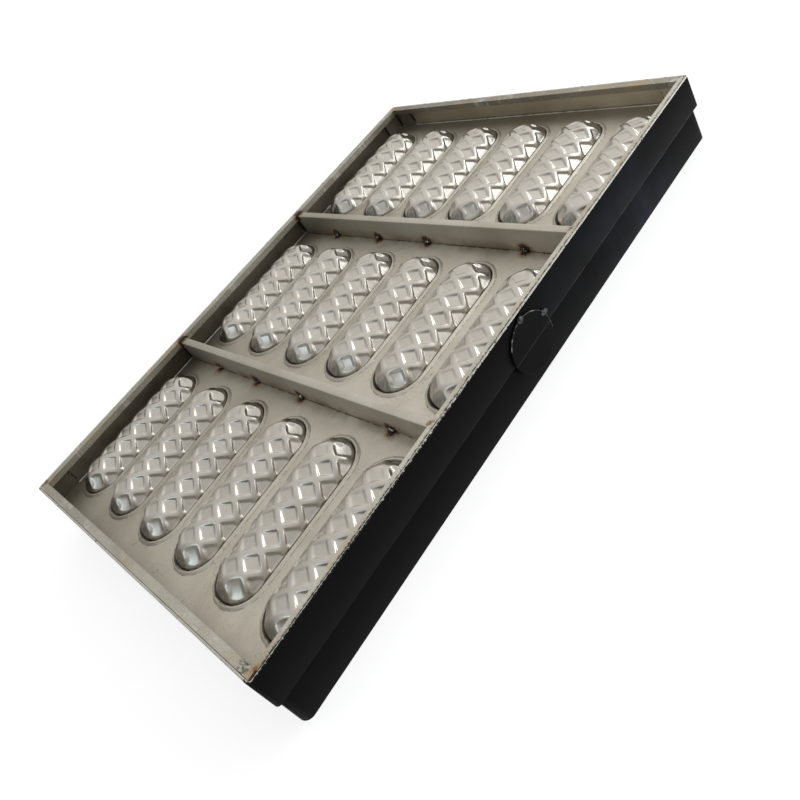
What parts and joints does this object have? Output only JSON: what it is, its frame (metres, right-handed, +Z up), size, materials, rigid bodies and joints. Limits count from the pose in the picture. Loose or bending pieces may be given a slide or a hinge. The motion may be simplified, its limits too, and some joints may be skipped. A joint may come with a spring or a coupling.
{
  "type": "waffle cake mould",
  "caption": "Rectangular bakery mould tray of waffle-pressed oblong cups in a framed pan, back side up, with a deep welded rim and cross bars.",
  "frame": {"origin": "middle of the part's footprint, at the edge that it stands on", "axes": "+X across the tray to the side with the round plate, +Y along the tray, +Z up through the frame's rim"},
  "size_m": [0.403, 0.6, 0.064],
  "materials": {
    "cup_steel": "bare pressed sheet with a soft shine",
    "bare_steel": "bare warm-grey sheet and bar, rust at the tack welds",
    "black_coat": "satin black baked coating"
  },
  "bodies": {
    "root": {"cup_r1_c1": "cup_steel", "cup_r1_c2": "cup_steel", "cup_r1_c3": "cup_steel", "cup_r1_c4": "cup_steel", "cup_r1_c5": "cup_steel", "cup_r1_c6": "cup_steel", "cup_r2_c1": "cup_steel", "cup_r2_c2": "cup_steel", "cup_r2_c3": "cup_steel", "cup_r2_c4": "cup_steel", "cup_r2_c5": "cup_steel", "cup_r2_c6": "cup_steel", "cup_r3_c1": "cup_steel", "cup_r3_c2": "cup_steel", "cup_r3_c3": "cup_steel", "cup_r3_c4": "cup_steel", "cup_r3_c5": "cup_steel", "cup_r3_c6": "cup_steel", "pan_panel_near": "bare_steel", "pan_panel_middle": "bare_steel", "pan_panel_far": "bare_steel", "corner_angle_near_left": "bare_steel", "corner_angle_near_right": "bare_steel", "corner_angle_far_right": "bare_steel", "corner_angle_far_left": "bare_steel", "rail_near": "bare_steel", "rail_far": "bare_steel", "rail_left": "bare_steel", "rail_right": "bare_steel", "cross_bar_near": "bare_steel", "cross_bar_far": "bare_steel", "skirt_band": "black_coat", "pan_wall": "black_coat", "side_disc": "black_coat"}
  },
  "joints": []
}
